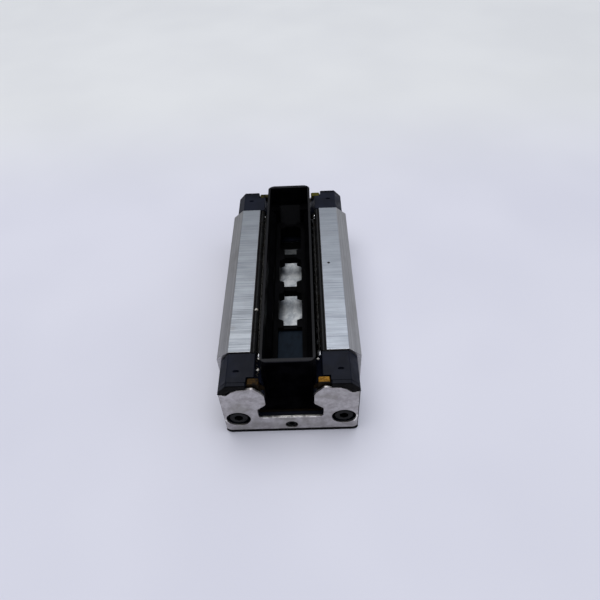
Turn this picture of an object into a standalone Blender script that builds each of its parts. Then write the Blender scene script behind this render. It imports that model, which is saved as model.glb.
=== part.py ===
"""Linear guide carriage, low and long, size 15, lying on its mounting face.

The frame's origin is the centre of the mounting face. +Z points to the rail side, which
faces up here, +Y runs along the travel and +X to the right. The black plastic transport
rail that keeps the balls in place fills the rail channel and slides out along Y.
Every size below is in millimetres; the mesh helpers turn them into metres.
"""

import math

import bmesh
import bpy

MM = 0.001
GAP = 0.3

# Steel block
BLOCK_HALF_WIDTH = 17.0
BLOCK_HALF_LENGTH = 26.8
BLOCK_HEIGHT = 19.9
LEG_INNER_X = 8.75
LEG_TOP_OUTER_X = 14.05
LEG_CHAMFER_Z = 17.4
WEB_TOP_Z = 6.9
POCKET_X = 10.6
POCKET_TOP_Z = 18.0
EDGE_CHAMFER = 0.5
MOUNT_HOLE_PITCH = 26.0
MOUNT_HOLE_DEPTH = 6.0
MOUNT_HOLE_RADIUS = 1.65

# Ball circuits: each row has a load line beside the rail and a return line in the leg
BALL_RADIUS = 1.5875
BALLS_PER_CIRCUIT = 38
LOAD_X = 7.34
RETURN_X = 13.3
ROWS = {"web_side": (11.9, 10.6), "rail_base_side": (15.6, 16.4)}
CHANNEL_RADIUS = 1.75
GROOVE_RADIUS = BALL_RADIUS + GAP
RETURN_BORE_RADIUS = 2.3
TUBE_OUTER_RADIUS = 2.0
TUBE_INNER_RADIUS = 1.75

# End caps and what is stacked in front of them, counted outwards from the block
CAP_START = BLOCK_HALF_LENGTH + GAP
CAP_FLOOR = 33.6
CAP_END = 34.9
CAP_HALF_WIDTH = 16.0
CAP_TOP_Z = 19.6
CAP_BOTTOM_Z = 0.05
SEAL_START = CAP_END + GAP
SEAL_RECESS = 35.5
SEAL_END = 36.2
PLATE_START = 35.8
PLATE_END = 36.3
PAD_START = CAP_FLOOR + GAP
PAD_EAR_INNER_X = 6.65
PAD_EAR_OUTER_X = 9.2
DIMPLE_X = 11.8
DIMPLE_Y = 31.95

# Fasteners
SCREW_X = 12.5
SCREW_Z = 6.2
SCREW_HEAD_RADIUS = 2.25
SCREW_SHANK_RADIUS = 1.25
SCREW_CLEARANCE_RADIUS = 2.9
SCREW_TIP = 22.0
SCREW_HEAD_START = PAD_START
SCREW_HEAD_END = 36.0
HEX_SOCKET_RADIUS = 1.15
PORT_Z = 3.05
PORT_SCREW_RADIUS = 1.2
PORT_HOLE_RADIUS = 1.5
PORT_CHANNEL_END = 30.0

# Transport rail
RAIL_HALF_LENGTH = 34.7
RAIL_BOX_HALF_LENGTH = 33.0
RAIL_TOP_Z = 24.0
RAIL_HEAD_Z = 7.7
RAIL_UNDERSIDE_Z = 10.0
RAIL_FLOOR_Z = 11.4
RAIL_LEDGE_Z = 10.0
RAIL_SIDE_X = 6.2
RAIL_INNER_X = 5.6
RAIL_FLOOR_X = 3.1
RAIL_POCKET_X = 5.2
RAIL_END_WALL = 1.0
RAIL_CORNER = 2.0
RIB_TOP_Z = 12.3
RIB_POST_Z = 13.0
RIB_POST_X = 1.75
RIBS = ((-14.0, -12.8), (-0.2, 1.4), (13.4, 14.8), (28.0, 29.2))
RAMP_START = 29.2
RAIL_BOX_FLOOR_Z = 17.8

MATERIALS = {
    "ground_steel": ((0.56, 0.58, 0.61), 0.38, 1.0),
    "hardened_steel": ((0.48, 0.49, 0.51), 0.25, 1.0),
    "bearing_steel": ((0.72, 0.73, 0.75), 0.12, 1.0),
    "stainless_sheet": ((0.52, 0.51, 0.54), 0.42, 1.0),
    "black_screw": ((0.03, 0.03, 0.032), 0.45, 0.6),
    "cap_plastic": ((0.012, 0.014, 0.02), 0.42, 0.0),
    "rail_plastic": ((0.010, 0.010, 0.012), 0.5, 0.0),
    "seal_rubber": ((0.008, 0.008, 0.009), 0.55, 0.0),
    "guide_plastic": ((0.03, 0.03, 0.032), 0.5, 0.0),
    "oil_pad": ((0.36, 0.19, 0.03), 0.6, 0.0),
}


def material(name):
    """Return the named Principled material, made the first time it is asked for."""
    found = bpy.data.materials.get(name)
    if found:
        return found
    colour, roughness, metallic = MATERIALS[name]
    made = bpy.data.materials.new(name)
    made.use_nodes = True
    shader = made.node_tree.nodes["Principled BSDF"]
    shader.inputs["Base Color"].default_value = (*colour, 1.0)
    shader.inputs["Roughness"].default_value = roughness
    shader.inputs["Metallic"].default_value = metallic
    return made


def finish(name, bm, slot, smooth_angle=None):
    """Turn a bmesh in millimetres into an object in metres."""
    bmesh.ops.scale(bm, vec=(MM, MM, MM), verts=bm.verts)
    bmesh.ops.recalc_face_normals(bm, faces=bm.faces)
    mesh = bpy.data.meshes.new(name)
    bm.to_mesh(mesh)
    bm.free()
    if smooth_angle:
        mesh.shade_smooth()
        mesh.set_sharp_from_angle(angle=math.radians(smooth_angle))
    obj = bpy.data.objects.new(name, mesh)
    bpy.context.collection.objects.link(obj)
    if slot:
        mesh.materials.append(material(slot))
    return obj


def add_prism(bm, outline, low, high, place):
    """Extrude a closed outline; place(u, v, w) turns outline and depth into a point."""
    ends = []
    for depth in (low, high):
        ends.append([bm.verts.new(place(u, v, depth)) for u, v in outline])
    bm.faces.new(ends[0])
    bm.faces.new(reversed(ends[1]))
    count = len(outline)
    for i in range(count):
        j = (i + 1) % count
        bm.faces.new((ends[0][j], ends[0][i], ends[1][i], ends[1][j]))


def along_y(u, v, w):
    return (u, w, v)


def along_z(u, v, w):
    return (u, v, w)


def along_x(u, v, w):
    return (w, u, v)


def prism(name, outline, low, high, slot=None, place=along_y):
    bm = bmesh.new()
    add_prism(bm, outline, low, high, place)
    return finish(name, bm, slot)


def circle(cx, cy, radius, segments=16, turn=0.0):
    steps = [2 * math.pi * i / segments + turn for i in range(segments)]
    return [(cx + radius * math.cos(a), cy + radius * math.sin(a)) for a in steps]


def arc(cx, cy, radius, start, end, segments=5):
    """Points on an arc from start to end, in degrees."""
    steps = [math.radians(start + (end - start) * i / segments) for i in range(segments + 1)]
    return [(cx + radius * math.cos(a), cy + radius * math.sin(a)) for a in steps]


def box_outline(half_width, start, stop):
    """Rectangle about the centre plane, from start to stop along Y."""
    return [(half_width, start), (half_width, stop), (-half_width, stop), (-half_width, start)]


def both_halves(half):
    """Close a right-hand half outline that starts and ends on the centre plane."""
    left = [(-x, z) for x, z in reversed(half) if x > 1e-6]
    return half + left


def flip_x(outline, side):
    return [(side * x, z) for x, z in outline]


def offset(outline, distance):
    """Grow a counter-clockwise outline by moving each corner along its mean normal."""
    grown = []
    count = len(outline)
    for i in range(count):
        (ax, ay), (bx, by), (cx, cy) = outline[i - 1], outline[i], outline[(i + 1) % count]
        n1 = math.hypot(bx - ax, by - ay)
        n2 = math.hypot(cx - bx, cy - by)
        nx = (by - ay) / n1 + (cy - by) / n2
        ny = -(bx - ax) / n1 - (cx - bx) / n2
        length_squared = nx * nx + ny * ny
        grown.append((bx + 2 * distance * nx / length_squared, by + 2 * distance * ny / length_squared))
    return grown


def cutter(bm, name):
    """Make a hidden cutter object from a bmesh in millimetres."""
    obj = finish(name, bm, None)
    obj.hide_render = True
    obj.display_type = "WIRE"
    return obj


def cut(obj, tool, operation="DIFFERENCE"):
    modifier = obj.modifiers.new(tool.name, "BOOLEAN")
    modifier.operation = operation
    modifier.object = tool
    modifier.solver = "EXACT"


# --- ball circuits -------------------------------------------------------------------

def circuit_frame(row, side):
    """Centre, in-plane unit direction and half spacing of a row's two straight lines."""
    load_z, return_z = ROWS[row]
    dx = side * (RETURN_X - LOAD_X)
    dz = return_z - load_z
    spacing = math.hypot(dx, dz)
    centre = (side * (LOAD_X + RETURN_X) / 2, (load_z + return_z) / 2)
    return centre, (dx / spacing, dz / spacing), spacing / 2


def ring(bm, row, side, across, along, normal, radius, segments):
    """Ring of vertices round a path point given in the circuit's own plane.

    across and along are the point's places from the centre line to the return line and
    along Y; normal is the in-plane unit normal (across, along) of the path there.
    """
    (cx, cz), (ux, uz), _ = circuit_frame(row, side)
    made = []
    for i in range(segments):
        angle = 2 * math.pi * (i + 0.5) / segments
        in_plane = radius * math.cos(angle)
        out = radius * math.sin(angle)
        a = across + in_plane * normal[0]
        y = along + in_plane * normal[1]
        made.append(bm.verts.new((cx + a * ux - out * uz, y, cz + a * uz + out * ux)))
    return made


def bridge(bm, first, second):
    count = len(first)
    for i in range(count):
        j = (i + 1) % count
        bm.faces.new((first[i], first[j], second[j], second[i]))


def loop_point(distance, half_spacing):
    """Place and outward normal on the racetrack path, in the circuit's plane."""
    straight = 2 * BLOCK_HALF_LENGTH
    turn = math.pi * half_spacing
    if distance < straight:
        return -half_spacing, -BLOCK_HALF_LENGTH + distance, (-1.0, 0.0)
    distance -= straight
    if distance < turn:
        angle = math.pi - distance / half_spacing
        normal = (math.cos(angle), math.sin(angle))
        return half_spacing * normal[0], BLOCK_HALF_LENGTH + half_spacing * normal[1], normal
    distance -= turn
    if distance < straight:
        return half_spacing, BLOCK_HALF_LENGTH - distance, (1.0, 0.0)
    angle = -(distance - straight) / half_spacing
    normal = (math.cos(angle), math.sin(angle))
    return half_spacing * normal[0], -BLOCK_HALF_LENGTH + half_spacing * normal[1], normal


def ball_circuit(row, side, side_name):
    """One endless row of balls, joined at thin necks into a single closed body."""
    _, _, half_spacing = circuit_frame(row, side)
    pitch = (4 * BLOCK_HALF_LENGTH + 2 * math.pi * half_spacing) / BALLS_PER_CIRCUIT
    bm = bmesh.new()
    rings = []
    for ball in range(BALLS_PER_CIRCUIT):
        for place, radius in ((0.0, 0.45 * BALL_RADIUS), (0.5, BALL_RADIUS)):
            across, along, normal = loop_point((ball + place) * pitch, half_spacing)
            rings.append(ring(bm, row, side, across, along, normal, radius, 6))
    for i, made in enumerate(rings):
        bridge(bm, rings[i - 1], made)
    return finish(f"ball_circuit_{row}_{side_name}", bm, "bearing_steel", 40)


def add_turn_channel(bm, row, side, end):
    """Half-torus ball channel with a straight stub at each mouth."""
    _, _, half_spacing = circuit_frame(row, side)
    stub = 1.0
    rings = []
    turns = [-stub] + [math.pi * i / 8 for i in range(9)] + [math.pi + stub]
    for turn in turns:
        angle = math.pi - min(max(turn, 0.0), math.pi)
        normal = (math.cos(angle), end * math.sin(angle))
        back = stub if turn < 0.0 or turn > math.pi else 0.0
        along = end * (BLOCK_HALF_LENGTH - back) + half_spacing * normal[1]
        rings.append(ring(bm, row, side, half_spacing * normal[0], along, normal, CHANNEL_RADIUS, 12))
    for first, second in zip(rings, rings[1:]):
        bridge(bm, first, second)
    bm.faces.new(rings[0])
    bm.faces.new(reversed(rings[-1]))


def return_tube(row, side, side_name):
    """Thin plastic sleeve that lines the return bore."""
    z = ROWS[row][1]
    outer = circle(side * RETURN_X, z, TUBE_OUTER_RADIUS)
    inner = circle(side * RETURN_X, z, TUBE_INNER_RADIUS)
    bm = bmesh.new()
    ends = []
    for y in (-BLOCK_HALF_LENGTH + GAP, BLOCK_HALF_LENGTH - GAP):
        for outline in (outer, inner):
            ends.append([bm.verts.new((x, y, zz)) for x, zz in outline])
    bridge(bm, ends[0], ends[2])
    bridge(bm, ends[3], ends[1])
    bridge(bm, ends[1], ends[0])
    bridge(bm, ends[2], ends[3])
    return finish(f"return_tube_{row}_{side_name}", bm, "guide_plastic", 40)


# --- steel block and what lines its channel ------------------------------------------

def block_body():
    """Ground steel saddle with two legs, return bores and tapped holes."""
    half = [
        (0, 0),
        (BLOCK_HALF_WIDTH - EDGE_CHAMFER, 0),
        (BLOCK_HALF_WIDTH, EDGE_CHAMFER),
        (BLOCK_HALF_WIDTH, LEG_CHAMFER_Z),
        (LEG_TOP_OUTER_X, BLOCK_HEIGHT),
        (LEG_INNER_X, BLOCK_HEIGHT),
        (LEG_INNER_X, POCKET_TOP_Z),
        (POCKET_X, POCKET_TOP_Z),
        (POCKET_X, WEB_TOP_Z + EDGE_CHAMFER),
        (POCKET_X - EDGE_CHAMFER, WEB_TOP_Z),
        (0, WEB_TOP_Z),
    ]
    obj = prism("block_body", both_halves(half), -BLOCK_HALF_LENGTH, BLOCK_HALF_LENGTH, "ground_steel")
    beyond = BLOCK_HALF_LENGTH + 1
    bm = bmesh.new()
    for side in (-1, 1):
        for _, return_z in ROWS.values():
            add_prism(bm, circle(side * RETURN_X, return_z, RETURN_BORE_RADIUS), -beyond, beyond, along_y)
        for end in (-1, 1):
            tap = circle(side * SCREW_X, SCREW_Z, SCREW_SHANK_RADIUS + GAP, 12)
            add_prism(bm, tap, end * (SCREW_TIP - 1), end * beyond, along_y)
            hole = circle(side * MOUNT_HOLE_PITCH / 2, end * MOUNT_HOLE_PITCH / 2, MOUNT_HOLE_RADIUS, 12)
            add_prism(bm, hole, -1, MOUNT_HOLE_DEPTH, along_z)
    cut(obj, cutter(bm, "block_bores"))
    return obj


def groove(row, start, end):
    """Arc of running clearance round a row's load line."""
    return arc(LOAD_X, ROWS[row][0], GROOVE_RADIUS, start, end)


def channel_strips(side, side_name):
    """Pieces that line one leg's inner face: race, ball retainers and lip seal."""
    back = POCKET_X - GAP
    reach = BLOCK_HALF_LENGTH
    race = [(back, 11.4), (back, 16.1)]
    race += groove("rail_base_side", 10, -62)
    race += groove("web_side", 62, -10)
    race_node = prism(f"race_insert_{side_name}", flip_x(race, side), -reach, reach, "hardened_steel")

    web_strip = [(7.7, 7.3), (back, 7.3), (back, 11.1)]
    web_strip += groove("web_side", -25, -68)
    web_strip += [(7.7, 9.8)]
    web_outline = flip_x(web_strip, side)
    web_node = prism(f"ball_retainer_web_{side_name}", web_outline, -reach, reach, "guide_plastic")

    base_strip = [(back, 16.4), (back, 17.7), (7.75, 17.7)]
    base_strip += groove("rail_base_side", 68, 25)
    base_node = prism(f"ball_retainer_base_{side_name}", flip_x(base_strip, side), -reach, reach,
                      "guide_plastic")

    leg_face = LEG_INNER_X - GAP
    lip = [
        (7.9, 18.0), (leg_face, 18.0), (leg_face, 19.5), (8.0, 19.6), (7.45, 19.25), (7.45, 18.95),
        (7.9, 18.6),
    ]
    seal_node = prism(f"side_seal_{side_name}", flip_x(lip, side), -reach, reach, "seal_rubber")
    return race_node, web_node, base_node, seal_node


# --- end caps ------------------------------------------------------------------------

CAP_RAIL_EDGE = [
    (7.6, CAP_TOP_Z), (7.45, 18.25), (6.5, 17.3), (6.1, 16.6), (6.0, 15.6), (6.0, 12.8),
    (6.6, 11.9), (7.7, 10.8), (7.95, 9.8), (7.9, 7.9), (7.5, 7.2), (0, 7.2),
]


def cap_outer_edge(half_width, bottom, top):
    """Outer edge of a cap or seal, from the bottom centre up to the top of the leg."""
    edge = [(0, bottom)]
    edge += arc(half_width - 1.3, bottom + 1.3, 1.3, -90, 0, 4)
    edge += [(half_width, 17.2), (half_width - 2.1, top)]
    return edge


def end_cap(end, end_name):
    """Moulded return cap with four ball turns, a guide seat in each leg and a pad recess."""
    outer = cap_outer_edge(CAP_HALF_WIDTH, CAP_BOTTOM_Z, CAP_TOP_Z)
    outline = both_halves(outer + CAP_RAIL_EDGE)
    obj = prism(f"end_cap_{end_name}", outline, end * CAP_START, end * CAP_END, "cap_plastic")

    bm = bmesh.new()
    for side in (-1, 1):
        seat = circle(side * (LOAD_X + RETURN_X) / 2, end * CAP_START, 3.0, 16, math.pi / 16)
        add_prism(bm, seat, 9.1, 18.1, along_z)
    cut(obj, cutter(bm, f"guide_seats_{end_name}"))

    for row in ROWS:
        bm = bmesh.new()
        for side in (-1, 1):
            add_turn_channel(bm, row, side, end)
        cut(obj, cutter(bm, f"turns_{row}_{end_name}"))

    bm = bmesh.new()
    recess = both_halves(offset(pad_half(), GAP)[:-1] + [(0, 20.5)])
    add_prism(bm, recess, end * CAP_FLOOR, end * (CAP_END + 1), along_y)
    cut(obj, cutter(bm, f"pad_recess_{end_name}"))

    bm = bmesh.new()
    for side in (-1, 1):
        clearance = circle(side * SCREW_X, SCREW_Z, SCREW_SHANK_RADIUS + GAP, 12)
        add_prism(bm, clearance, end * (CAP_START - 1), end * (CAP_FLOOR + 0.5), along_y)
        dimple = circle(side * DIMPLE_X, end * DIMPLE_Y, 0.6, 10)
        add_prism(bm, dimple, CAP_TOP_Z - 0.5, CAP_TOP_Z + 1, along_z)
    cut(obj, cutter(bm, f"cap_holes_{end_name}"))

    bm = bmesh.new()
    for side in (-1, 1):
        head_room = circle(side * SCREW_X, SCREW_Z, SCREW_CLEARANCE_RADIUS)
        add_prism(bm, head_room, end * CAP_FLOOR, end * (CAP_END + 1), along_y)
    port = circle(0, PORT_Z, PORT_HOLE_RADIUS, 12)
    add_prism(bm, port, end * PORT_CHANNEL_END, end * (CAP_END + 1.5), along_y)
    cut(obj, cutter(bm, f"head_room_{end_name}"))
    return obj


def return_guide(end, end_name, side, side_name):
    """Half-round core that closes the inside of both ball turns of one leg."""
    centre_x = side * (LOAD_X + RETURN_X) / 2
    half_disc = arc(centre_x, end * CAP_START, 2.7, 0, end * 180, 8)
    obj = prism(f"return_guide_{end_name}_{side_name}", half_disc, 9.4, 17.8, "guide_plastic", along_z)
    for row in ROWS:
        bm = bmesh.new()
        add_turn_channel(bm, row, side, end)
        cut(obj, cutter(bm, f"guide_turn_{row}_{end_name}_{side_name}"))
    return obj


def pad_half():
    """Right half of the oil pad's outline, an arch that follows the rail."""
    return [
        (0, 5.4), (9.2, 5.4), (9.2, 10.0), (14.0, 11.0), (14.0, 16.9), (12.8, 18.1),
        (PAD_EAR_OUTER_X, 18.1), (PAD_EAR_OUTER_X, 19.4), (PAD_EAR_INNER_X, 19.4), (PAD_EAR_INNER_X, 17.15),
        (5.55, 16.05), (5.55, 12.4), (7.5, 10.4), (7.6, 7.6), (7.2, 7.05), (0, 7.05),
    ]


def oil_pad(end, end_name):
    """Oil-soaked felt arch behind the end seal, with an ear that shows on each leg."""
    obj = prism(f"oil_pad_{end_name}", both_halves(pad_half()), end * PAD_START, end * 35.5, "oil_pad")
    bm = bmesh.new()
    ear_space = [(-20, 0), (20, 0), (20, 30), (PAD_EAR_OUTER_X, 30), (PAD_EAR_OUTER_X, 16.8),
                 (-PAD_EAR_OUTER_X, 16.8), (-PAD_EAR_OUTER_X, 30), (-20, 30)]
    add_prism(bm, ear_space, end * 34.9, end * 37, along_y)
    cut(obj, cutter(bm, f"pad_front_{end_name}"))
    return obj


# --- end seal, cover plate and fasteners ---------------------------------------------

def plate_half():
    """Right half of the cover plate's outline, round the rail and over the legs."""
    half = [(0, 1.3)]
    half += arc(14.55, 2.5, 1.2, -90, 0, 4)
    half += [(15.75, 16.55), (15.2, 16.6)]
    half += arc(14.4, 17.3, 0.95, -60, -120, 3)
    half += [(13.2, 17.2), (12.5, 17.9)]
    half += [(11.6, 18.25), (9.6, 18.35), (8.6, 18.7), (8.0, 18.7), (7.4, 18.05), (6.4, 16.95), (5.9, 16.3)]
    half += [(5.65, 15.5), (5.6, 13.0), (5.7, 12.1), (6.2, 11.4), (7.1, 10.6)]
    half += [(7.55, 10.05), (7.7, 9.3), (7.65, 7.35), (7.4, 6.8), (6.8, 6.6), (0, 6.6)]
    return half


def seal_half():
    """Right half of the end seal's outline; it leaves room for the oil pad's ears."""
    half = cap_outer_edge(CAP_HALF_WIDTH, CAP_BOTTOM_Z, 19.5)
    half += [(9.5, 19.5), (9.5, 16.4), (5.9, 16.4), (5.55, 16.05), (5.55, 11.9)]
    half += [(7.5, 9.95), (7.6, 7.45), (7.2, 6.85), (0, 6.85)]
    return half


def end_seal(end, end_name):
    """Rubber-faced seal plate with a recess that holds the cover plate."""
    obj = prism(f"end_seal_{end_name}", both_halves(seal_half()), end * SEAL_START, end * SEAL_END,
                "seal_rubber")
    bm = bmesh.new()
    recess = offset(both_halves(plate_half()), GAP)
    recess = [(x * 1.05 if abs(x) > 15 else x, z) for x, z in recess]
    add_prism(bm, recess, end * SEAL_RECESS, end * (SEAL_END + 1), along_y)
    cut(obj, cutter(bm, f"plate_recess_{end_name}"))
    pierce(obj, end, SEAL_START, SEAL_END, f"seal_holes_{end_name}")
    return obj


def pierce(obj, end, start, stop, name):
    """Cut the two screw holes and the port hole through an end layer."""
    bm = bmesh.new()
    for side in (-1, 1):
        hole = circle(side * SCREW_X, SCREW_Z, SCREW_CLEARANCE_RADIUS, 24)
        add_prism(bm, hole, end * (start - 1), end * (stop + 1), along_y)
    add_prism(bm, circle(0, PORT_Z, PORT_HOLE_RADIUS, 16), end * (start - 1), end * (stop + 1), along_y)
    cut(obj, cutter(bm, name))


def cover_plate(end, end_name):
    """Thin stainless plate with the rail cut-out."""
    obj = prism(f"cover_plate_{end_name}", both_halves(plate_half()), end * PLATE_START, end * PLATE_END,
                "stainless_sheet")
    pierce(obj, end, PLATE_START, PLATE_END, f"plate_holes_{end_name}")
    return obj


def turned_screw(name, x, z, end, stations, socket_depth):
    """Round screw made of stations (place, radius) with a hexagon socket in its last face."""
    bm = bmesh.new()
    rings = []
    for place, radius in stations:
        rings.append([bm.verts.new((px, end * place, pz)) for px, pz in circle(x, z, radius, 12)])
    for first, second in zip(rings, rings[1:]):
        bridge(bm, first, second)
    bm.faces.new(rings[0])
    bm.faces.new(reversed(rings[-1]))
    obj = finish(name, bm, "black_screw", 35)
    face = stations[-1][0]
    bm = bmesh.new()
    size = HEX_SOCKET_RADIUS * stations[-1][1] / SCREW_HEAD_RADIUS
    add_prism(bm, circle(x, z, size, 6), end * (face - socket_depth), end * (face + 0.5), along_y)
    cut(obj, cutter(bm, f"{name}_socket"))
    return obj


def cap_screw(end, end_name, side, side_name):
    stations = [
        (SCREW_TIP, SCREW_SHANK_RADIUS * 0.7),
        (SCREW_TIP + 0.4, SCREW_SHANK_RADIUS),
        (SCREW_HEAD_START, SCREW_SHANK_RADIUS),
        (SCREW_HEAD_START, SCREW_HEAD_RADIUS),
        (SCREW_HEAD_END - 0.2, SCREW_HEAD_RADIUS),
        (SCREW_HEAD_END, SCREW_HEAD_RADIUS - 0.2),
    ]
    name = f"cap_screw_{end_name}_{side_name}"
    return turned_screw(name, side * SCREW_X, SCREW_Z, end, stations, 1.2)


def port_screw(end, end_name):
    stations = [
        (31.8, PORT_SCREW_RADIUS * 0.7),
        (32.2, PORT_SCREW_RADIUS),
        (PLATE_END - 0.3, PORT_SCREW_RADIUS),
        (PLATE_END - 0.1, PORT_SCREW_RADIUS - 0.2),
    ]
    return turned_screw(f"port_screw_{end_name}", 0, PORT_Z, end, stations, 1.5)


# --- transport rail ------------------------------------------------------------------

def transport_rail():
    """Black moulded trough in the rail's shape, with ribs, three floor windows and a ramp at each end."""
    half = [
        (0, RAIL_HEAD_Z), (6.9, RAIL_HEAD_Z), (7.2, 8.0), (7.2, 9.3), (5.2, 11.3), (5.2, 16.1),
        (RAIL_SIDE_X, 17.25), (RAIL_SIDE_X, RAIL_TOP_Z), (0, RAIL_TOP_Z),
    ]
    obj = prism("transport_rail", both_halves(half), -RAIL_HALF_LENGTH, RAIL_HALF_LENGTH, "rail_plastic")

    bm = bmesh.new()
    for end in (-1, 1):
        side = RAIL_SIDE_X + 0.1
        corner = RAIL_CORNER
        ends = [(9, 40), (-9, 40), (-9, RAIL_BOX_HALF_LENGTH - corner)]
        ends += arc(-side + corner, RAIL_BOX_HALF_LENGTH - corner, corner, 180, 90, 4)
        ends += arc(side - corner, RAIL_BOX_HALF_LENGTH - corner, corner, 90, 0, 4)
        ends += [(9, RAIL_BOX_HALF_LENGTH - corner)]
        add_prism(bm, [(x, end * y) for x, y in ends], RAIL_LEDGE_Z, RAIL_TOP_Z + 1, along_z)
    cut(obj, cutter(bm, "rail_ends"))

    reach = RAIL_BOX_HALF_LENGTH - RAIL_END_WALL
    bm = bmesh.new()
    add_prism(bm, box_outline(RAIL_INNER_X, -reach, reach), RAIL_BOX_FLOOR_Z, RAIL_TOP_Z + 1, along_z)
    cut(obj, cutter(bm, "rail_box"))

    lower = [
        (0, RIB_POST_Z), (4.3, RIB_POST_Z), (4.3, 16.4), (RAIL_INNER_X, RAIL_BOX_FLOOR_Z),
        (RAIL_INNER_X, RAIL_BOX_FLOOR_Z + 0.5), (0, RAIL_BOX_FLOOR_Z + 0.5),
    ]
    bm = bmesh.new()
    add_prism(bm, both_halves(lower), -RAMP_START, RAMP_START, along_y)
    cut(obj, cutter(bm, "rail_trough"))

    bm = bmesh.new()
    floor = box_outline(RAIL_FLOOR_X, -RAMP_START, RIBS[0][0])
    add_prism(bm, floor, RAIL_FLOOR_Z, RIB_POST_Z + 0.5, along_z)
    cut(obj, cutter(bm, "rail_floor"))

    bm = bmesh.new()
    for end in (-1, 1):
        ramp = [
            (RAMP_START - 0.2, RAIL_FLOOR_Z), (RAMP_START, RAIL_FLOOR_Z), (reach, RAIL_BOX_FLOOR_Z),
            (reach, RAIL_BOX_FLOOR_Z + 0.3), (RAMP_START - 0.2, RAIL_BOX_FLOOR_Z + 0.3),
        ]
        outline = [(end * y, z) for y, z in ramp]
        add_prism(bm, outline, -RAIL_FLOOR_X, RAIL_FLOOR_X, along_x)
    cut(obj, cutter(bm, "rail_ramps"))

    bm = bmesh.new()
    saddle = box_outline(RIB_POST_X, RIBS[0][0] - 0.5, RIBS[-1][1] - 0.2)
    add_prism(bm, saddle, RIB_TOP_Z, RIB_POST_Z + 0.6, along_z)
    cut(obj, cutter(bm, "rail_saddle"))

    bm = bmesh.new()
    for before, after in zip(RIBS, RIBS[1:]):
        start, stop = before[1], after[0]
        window = [
            (RIB_POST_X, start), (RIB_POST_X, start + 1.2), (RAIL_FLOOR_X, start + 1.8),
            (RAIL_FLOOR_X, stop - 1.8), (RIB_POST_X, stop - 1.2), (RIB_POST_X, stop),
        ]
        window += [(-x, y) for x, y in reversed(window)]
        add_prism(bm, window, RAIL_HEAD_Z + 1, RIB_POST_Z + 0.4, along_z)
    cut(obj, cutter(bm, "rail_windows"))

    bm = bmesh.new()
    pocket = box_outline(RAIL_POCKET_X, RIBS[0][0], RIBS[-1][1])
    add_prism(bm, pocket, RAIL_HEAD_Z - 1, RAIL_UNDERSIDE_Z, along_z)
    cut(obj, cutter(bm, "rail_pocket"))
    return obj


def build():
    for old in list(bpy.data.objects):
        bpy.data.objects.remove(old, do_unlink=True)
    block_body()
    for side, side_name in ((-1, "left"), (1, "right")):
        channel_strips(side, side_name)
        for row in ROWS:
            ball_circuit(row, side, side_name)
            return_tube(row, side, side_name)
    for end, end_name in ((-1, "front"), (1, "rear")):
        end_cap(end, end_name)
        oil_pad(end, end_name)
        end_seal(end, end_name)
        cover_plate(end, end_name)
        port_screw(end, end_name)
        for side, side_name in ((-1, "left"), (1, "right")):
            return_guide(end, end_name, side, side_name)
            cap_screw(end, end_name, side, side_name)
    transport_rail()


build()
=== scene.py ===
import math
import random

import bmesh
import bpy
from mathutils import Matrix, Vector, noise


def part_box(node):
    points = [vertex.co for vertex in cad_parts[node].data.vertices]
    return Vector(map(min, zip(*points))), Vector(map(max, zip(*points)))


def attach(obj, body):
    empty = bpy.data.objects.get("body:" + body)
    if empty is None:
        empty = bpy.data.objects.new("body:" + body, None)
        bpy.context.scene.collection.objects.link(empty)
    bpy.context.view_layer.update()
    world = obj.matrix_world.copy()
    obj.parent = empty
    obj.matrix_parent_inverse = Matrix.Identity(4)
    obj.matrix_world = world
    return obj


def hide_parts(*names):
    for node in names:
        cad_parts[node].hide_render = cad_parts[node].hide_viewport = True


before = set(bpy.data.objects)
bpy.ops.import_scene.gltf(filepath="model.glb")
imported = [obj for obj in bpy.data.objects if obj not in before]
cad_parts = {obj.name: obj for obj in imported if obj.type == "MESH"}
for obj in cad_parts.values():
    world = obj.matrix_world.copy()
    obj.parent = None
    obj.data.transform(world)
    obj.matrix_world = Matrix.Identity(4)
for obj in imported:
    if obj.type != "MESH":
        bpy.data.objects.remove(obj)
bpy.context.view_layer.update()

# Looks of a linear guide carriage that lies on its mounting face with its transport rail
# fitted. Shapes are built in millimetres and turned into metres when a piece is made.

MM = 0.001
CARRIAGE = "carriage"
RAIL = "transport_rail_body"
SIDES = {"left": -1, "right": 1}
ENDS = {"front": -1, "rear": 1}
CHANCE = random.Random(15)
noise.seed_set(15)


def box_mm(node):
    """Lowest and highest corner of a CAD node, in millimetres."""
    low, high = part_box(node)
    return low / MM, high / MM


# Driving sizes, read from the frame
_, BLOCK_HIGH = box_mm("block_body")
CAP_LOW, CAP_HIGH = box_mm("end_cap_rear")
SEAL_LOW, SEAL_HIGH = box_mm("end_seal_rear")
PLATE_LOW, PLATE_HIGH = box_mm("cover_plate_rear")
PAD_LOW, PAD_HIGH = box_mm("oil_pad_rear")
SCREW_LOW, SCREW_HIGH = box_mm("cap_screw_rear_right")
PORT_LOW, PORT_HIGH = box_mm("port_screw_rear")
RAIL_LOW, RAIL_HIGH = box_mm("transport_rail")
_, LIP_HIGH = box_mm("side_seal_right")

SCREW_X = (SCREW_LOW.x + SCREW_HIGH.x) / 2
SCREW_Z = (SCREW_LOW.z + SCREW_HIGH.z) / 2
SCREW_HEAD_RADIUS = (SCREW_HIGH.x - SCREW_LOW.x) / 2
PORT_Z = (PORT_LOW.z + PORT_HIGH.z) / 2
PORT_RADIUS = (PORT_HIGH.x - PORT_LOW.x) / 2

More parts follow.
